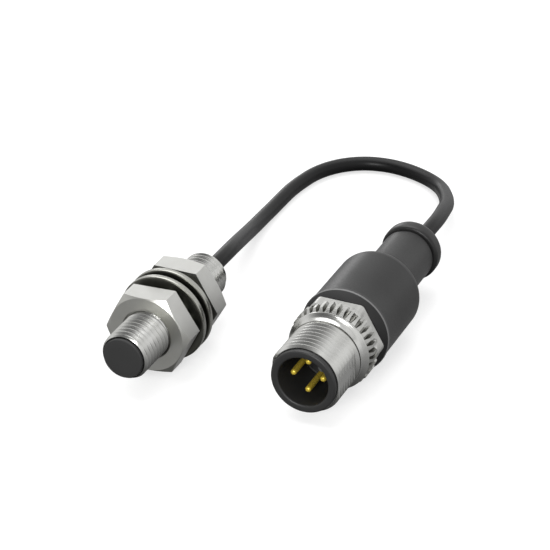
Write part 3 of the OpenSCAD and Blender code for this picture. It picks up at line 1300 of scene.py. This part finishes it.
@dataclass
class Studio:
    """Camera, plain pale floor and soft light."""

    aim: Point = (19.044, 0.546, 18.912)
    azimuth: float = 24.22
    elevation: float = 29.15
    distance: float = 329.9
    lens: float = 138.9
    floor_half: float = 3000.0
    # Tone of the sky from straight below, through the horizon at 0.5, to straight above
    sky: tuple[tuple[float, str], ...] = (
        (0.0, "#484848"), (0.27, "#949494"), (0.45, "#bcbcbc"), (0.57, "#e8e8e8"),
        (0.66, "#eeeeee"), (0.73, "#cccccc"), (0.8, "#e0e0e0"), (0.9, "#ececec"),
        (1.0, "#c8c8c8"),
    )
    sky_strength: float = 1.25
    # A dark flag in front and above, which draws dark lines along the tops of the threads
    flag: Point = (-0.36, -0.72, 0.6)
    flag_spread: tuple[float, float] = (12.0, 40.0)
    flag_strength: float = 0.2
    sun_strength: float = 1.6
    sun_spread: float = 60.0
    sun_way: Point = (0.3, -0.2, -1.0)
    # What the panels face, and how far off they hang
    panel_aim: Point = (14.0, 30.0, 5.0)
    panel_distance: float = 500.0

    def camera(self) -> None:
        """Places the camera."""
        a, e = math.radians(self.azimuth), math.radians(self.elevation)
        back = Vector((math.sin(a) * math.cos(e), -math.cos(a) * math.cos(e), math.sin(e)))
        data = bpy.data.cameras.new("camera")
        data.lens = self.lens
        data.sensor_width = 36.0
        data.clip_start, data.clip_end = 0.01, 20.0
        camera = bpy.data.objects.new("camera", data)
        camera.rotation_mode = "QUATERNION"
        camera.location = Vector(self.aim) * MM + back * self.distance * MM
        camera.rotation_quaternion = (-back).to_track_quat("-Z", "Y")
        bpy.context.scene.collection.objects.link(camera)
        bpy.context.scene.camera = camera

    def floor(self) -> None:
        """Lays the floor."""
        half = self.floor_half * MM
        mesh = bpy.data.meshes.new("floor")
        mesh.from_pydata(
            [(-half, -half, 0), (half, -half, 0), (half, half, 0), (-half, half, 0)],
            [],
            [(0, 1, 2, 3)],
        )
        material, tree = new_material("matte white paper")
        # It glows a little, so its own shadows stay faint
        look = {
            "Base Color": linear("#b4b4b4"),
            "Roughness": 0.9,
            "Specular IOR Level": 0.1,
            "Emission Color": linear("#ffffff"),
            "Emission Strength": 0.62,
        }
        shader = add_node(tree, "BsdfPrincipled", look)
        add_node(tree, "OutputMaterial", {"Surface": shader.outputs[0]})
        mesh.materials.append(material)
        floor = bpy.data.objects.new("floor", mesh)
        # The paper neither mirrors in the metal nor throws light up under the parts
        floor.visible_glossy = False
        floor.visible_diffuse = False
        bpy.context.scene.collection.objects.link(floor)

    def panel(self, name: str, direction: Point, size: float, watts: float) -> None:
        """Hangs one soft square light that faces the object.

        Args:
            name: Name of the light.
            direction: Direction from the object to the light.
            size: Length of the panel's side.
            watts: Power of the light.
        """
        data = bpy.data.lights.new(name, "AREA")
        data.size = size * MM
        data.energy = watts
        light = bpy.data.objects.new(name, data)
        way = Vector(direction).normalized()
        light.location = (Vector(self.panel_aim) + way * self.panel_distance) * MM
        light.rotation_mode = "QUATERNION"
        light.rotation_quaternion = (-way).to_track_quat("-Z", "Y")
        bpy.context.scene.collection.objects.link(light)

    def light(self) -> None:
        """Lights the scene: a soft sky with a dark flag, a broad sun and two panels."""
        world = bpy.data.worlds.new("studio sky")
        world.use_nodes = True
        tree = world.node_tree
        tree.nodes.clear()
        way = add_node(tree, "TexCoord").outputs["Generated"]
        rise = add_node(tree, "SeparateXYZ", {0: way}).outputs["Z"]
        span = {"Value": rise, "From Min": -1.0, "From Max": 1.0}
        height = add_node(tree, "MapRange", span).outputs[0]
        tone = add_node(tree, "ValToRGB", {"Fac": height})
        ramp = tone.color_ramp
        while len(ramp.elements) < len(self.sky):
            ramp.elements.new(1.0)
        for element, (position, colour) in zip(ramp.elements, self.sky):
            element.position, element.color = position, linear(colour)
        ways = {0: way, 1: Vector(self.flag).normalized()}
        toward_flag = add_node(tree, "VectorMath", ways, operation="DOT_PRODUCT")
        inner, outer = (math.cos(math.radians(angle)) for angle in self.flag_spread)
        shading = {
            "Value": toward_flag.outputs["Value"],
            "From Min": outer,
            "From Max": inner,
            "To Min": self.sky_strength,
            "To Max": self.flag_strength,
        }
        strength = add_node(tree, "MapRange", shading).outputs[0]
        sky = add_node(tree, "Background", {"Color": tone.outputs[0], "Strength": strength})
        add_node(tree, "OutputWorld", {"Surface": sky.outputs[0]})
        bpy.context.scene.world = world
        bpy.context.scene.view_settings.view_transform = "Standard"
        sun = bpy.data.lights.new("soft overhead light", "SUN")
        sun.energy = self.sun_strength
        sun.angle = math.radians(self.sun_spread)
        lamp = bpy.data.objects.new("soft overhead light", sun)
        lamp.rotation_mode = "QUATERNION"
        lamp.rotation_quaternion = Vector(self.sun_way).to_track_quat("-Z", "Y")
        bpy.context.scene.collection.objects.link(lamp)
        self.panel("front panel", (0.1, -1.0, 0.45), size=120, watts=1.0)
        self.panel("rear left panel", (-0.59, 0.8, 0.14), size=110, watts=0.08)

    def build(self) -> None:
        """Builds the whole room."""
        self.camera()
        self.floor()
        self.light()


# ---- finishes of this object ----


@dataclass
class Finishes:
    """Every finish on the object."""

    # Turned and threaded brass under nickel: soft grey with rings left by the tool
    barrel: PlatedMetal = PlatedMetal(
        "nickel-plated turned brass", "#d2d2d0", "#b8b8b4", 0.22, Marks.ROUND_SENSOR
    )
    # Drawn hexagon bar under nickel: bright flats with faint lengthwise lines
    nut_flats: PlatedMetal = PlatedMetal(
        "nickel-plated drawn brass",
        "#cdcdca",
        "#c0c0bc",
        0.34,
        Marks.LENGTHWISE,
        depth_mm=0.0015,
        spread=0.04,
    )
    # Faced end of a nut: darker than its flats, which is painted shade, with real turned rings
    # round the bore
    nut_faces_shaded: PlatedMetal = PlatedMetal(
        "nickel-plated faced brass, painted shade",
        "#c8c8c4",
        "#b8b8b2",
        0.36,
        Marks.ROUND_SENSOR,
        depth_mm=0.0015,
        spread=0.04,
    )
    # Stamped spring steel under nickel: tumbled, so its edges shine evenly
    washer: PlatedMetal = PlatedMetal(
        "nickel-plated stamped steel", "#b4b4ae", "#9a9a94", 0.3, Marks.TUMBLED
    )
    # The same steel on its flat sides: much darker, as painted shade, so each rim stands out
    washer_shaded_faces: PlatedMetal = PlatedMetal(
        "nickel-plated stamped steel, flat, painted shade", "#6a6a64", "#55554f", 0.34, Marks.TUMBLED
    )
    # Turned brass under nickel on the plug's thread
    screw_thread: PlatedMetal = PlatedMetal(
        "nickel-plated threaded brass", "#d2d2d0", "#bcbcb8", 0.2, Marks.ROUND_PLUG
    )
    # Rolled knurl and hexagon under satin nickel
    screw_grip: PlatedMetal = PlatedMetal(
        "satin nickel-plated knurled brass", "#c6c6c4", "#b2b2ae", 0.33, Marks.ROUND_PLUG
    )
    # The same nickel in the knurl's grooves: darker, as painted shade, so each ridge stands out
    screw_groove_shade: PlatedMetal = PlatedMetal(
        "satin nickel-plated brass, painted groove shade", "#8c8c88", "#74746f", 0.34, Marks.TUMBLED
    )
    # Bare spring steel: grey, with a slight blue cast
    spring: PlatedMetal = PlatedMetal(
        "plain spring steel", "#8c8e92", "#74767a", 0.3, Marks.TUMBLED
    )
    # Gold over brass: warm and bright, even where little light reaches it
    gold: PlatedMetal = PlatedMetal(
        "gold-plated turned brass", "#f8dc5c", "#e8c844", 0.28, Marks.TUMBLED, metallic=0.5
    )
    # Reinforced polyester cap: dead matte black face
    cap: MouldedPlastic = MouldedPlastic("moulded black polyester", "#2c2c2c", "#262626", 0.62)
    # Nylon bush: black with a slight gloss
    bush: MouldedPlastic = MouldedPlastic("moulded black nylon", "#1e1e20", "#18181a", 0.5)
    # Extruded polyurethane sheath: dark grey, waxy streaks of light
    sheath: MouldedPlastic = MouldedPlastic(
        "extruded black polyurethane", "#080809", "#060607", 0.38, ior=1.33
    )
    # Moulded polyurethane grip: charcoal with a soft broad sheen
    grip: MouldedPlastic = MouldedPlastic(
        "moulded charcoal polyurethane", "#1a1a1a", "#151515", 0.38, 0.2, 0.006, ior=1.45
    )
    # The same moulding on its front cone: dull, and darkened as painted shade behind the hexagon,
    # the darkest part of the grip
    grip_cone_shade: MouldedPlastic = MouldedPlastic(
        "moulded charcoal polyurethane, dull, painted shade", "#0b0b0b", "#090909", 0.6
    )
    # The same moulding along its front rim: a thin pale line, a painted highlight
    grip_rim_highlight: MouldedPlastic = MouldedPlastic(
        "moulded charcoal polyurethane, painted rim highlight", "#6c6c6c", "#606060", 0.35
    )
    # Glass-filled carrier: charcoal with a slightly glossy rim
    carrier: MouldedPlastic = MouldedPlastic(
        "moulded glass-filled nylon", "#282828", "#222222", 0.42
    )
    # The carrier's nylon on the key rib's end: a paler disc, painted light
    key_end_painted_light: MouldedPlastic = MouldedPlastic(
        "moulded glass-filled nylon, painted light on key end", "#565656", "#4a4a4a", 0.4
    )
    # Pressed and sintered ferrite: dark grey and stony
    ferrite: MouldedPlastic = MouldedPlastic(
        "sintered ferrite", "#3b3a3c", "#2c2b2d", 0.55, 0.08, 0.01
    )
    # Natural nylon former: creamy and a little glossy
    former: MouldedPlastic = MouldedPlastic("moulded natural nylon", "#dcd2b0", "#cfc49e", 0.4)
    # Moulded epoxy packages: flat black with a fine sparkle of filler
    chip: MouldedPlastic = MouldedPlastic("moulded epoxy", "#242424", "#1a1a1a", 0.55)
    # Ceramic chip parts: tan and slightly glazed
    ceramic: MouldedPlastic = MouldedPlastic(
        "glazed ceramic", "#b7a27a", "#a38d64", 0.3, 0.1, 0.002, coat=0.3
    )
    # Cast epoxy: black, level and glossy
    resin: MouldedPlastic = MouldedPlastic(
        "cast epoxy resin", "#1d1d1f", "#161618", 0.25, 0.6, 0.006, coat=0.4
    )
    # Enamelled copper winding, drawn with wire as coarse as it needs to show
    wire: WoundWire = WoundWire("enamelled copper wire", "#b8683a", "#6e3418", 0.12)
    # Circuit board with tracks under the resist
    board: BoardLaminate = BoardLaminate("solder-resist glass epoxy", "#24583a", "#3c7d55", 0.2)
    # Core insulation in the sensor and in the plug
    sensor_cores: CoreInsulation = CoreInsulation(
        "extruded core insulation, sensor", SENSOR_LINE
    )
    plug_cores: CoreInsulation = CoreInsulation("extruded core insulation, plug", PLUG_LINE)


def dress_kept_nodes(finishes: Finishes, nodes: dict[str, Piece]) -> None:
    """Gives each CAD node that stays its own procedural finish.

    Args:
        finishes: The object's finishes.
        nodes: The frame's nodes by name.
    """
    resin = finishes.resin.build()
    wire = finishes.wire.build()
    chip = finishes.chip.build()
    kept = {
        "ferrite_core": finishes.ferrite.build(),
        "coil_former": finishes.former.build(),
        "sense_coil": wire,
        "coil_leads": wire,
        "circuit_board": finishes.board.build(),
        "oscillator_chip": chip,
        "output_transistor": chip,
        "board_parts": finishes.ceramic.build(),
        "potting": resin,
        "inner_mould": resin,
        "sensor_cores": finishes.sensor_cores.build(),
        "plug_cores": finishes.plug_cores.build(),
        "retaining_ring": finishes.spring.build(),
    }
    for name, material in kept.items():
        slots = nodes[name].data.materials
        slots.clear()
        slots.append(material)
        LOG.info("dressed %s in %s", name, material.name)


def main() -> None:
    """Builds the object and its room, and logs the cable's length."""
    logging.basicConfig(level=logging.INFO, format="%(name)s: %(message)s")
    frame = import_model()
    finishes = Finishes()

    Studio().build()
    cable = Cable(finishes.sheath.build())
    cord = cable.build()
    Barrel(finishes.barrel.build(), finishes.cap.build(), finishes.bush.build()).build()
    flats, faces = finishes.nut_flats.build(), finishes.nut_faces_shaded.build()
    HexNut("front_nut", "front_nut", Side.FRONT, -6.9, flats, faces).build()
    HexNut("rear_nut", "rear_nut", Side.REAR, 3.6, flats, faces, roll=0.0).build()
    washer = finishes.washer.build(), finishes.washer_shaded_faces.build()
    ToothWasher("front_washer", "front_lock_washer", Side.FRONT, -2.9, *washer).build()
    ToothWasher("rear_washer", "rear_lock_washer", Side.REAR, 1.0, *washer).build()
    cone, rim = finishes.grip_cone_shade.build(), finishes.grip_rim_highlight.build()
    plug = [PlugGrip(finishes.grip.build(), cone, rim).build()]
    carrier, key = finishes.carrier.build(), finishes.key_end_painted_light.build()
    plug += ContactCarrier(carrier, key, finishes.gold.build()).build()
    thread, knurl = finishes.screw_thread.build(), finishes.screw_grip.build()
    screw = CouplingScrew(thread, knurl, finishes.screw_groove_shade.build())
    plug.append(screw.build())
    dress_kept_nodes(finishes, frame["nodes"])
    cable.declare()


if __name__ == "__main__":
    main()
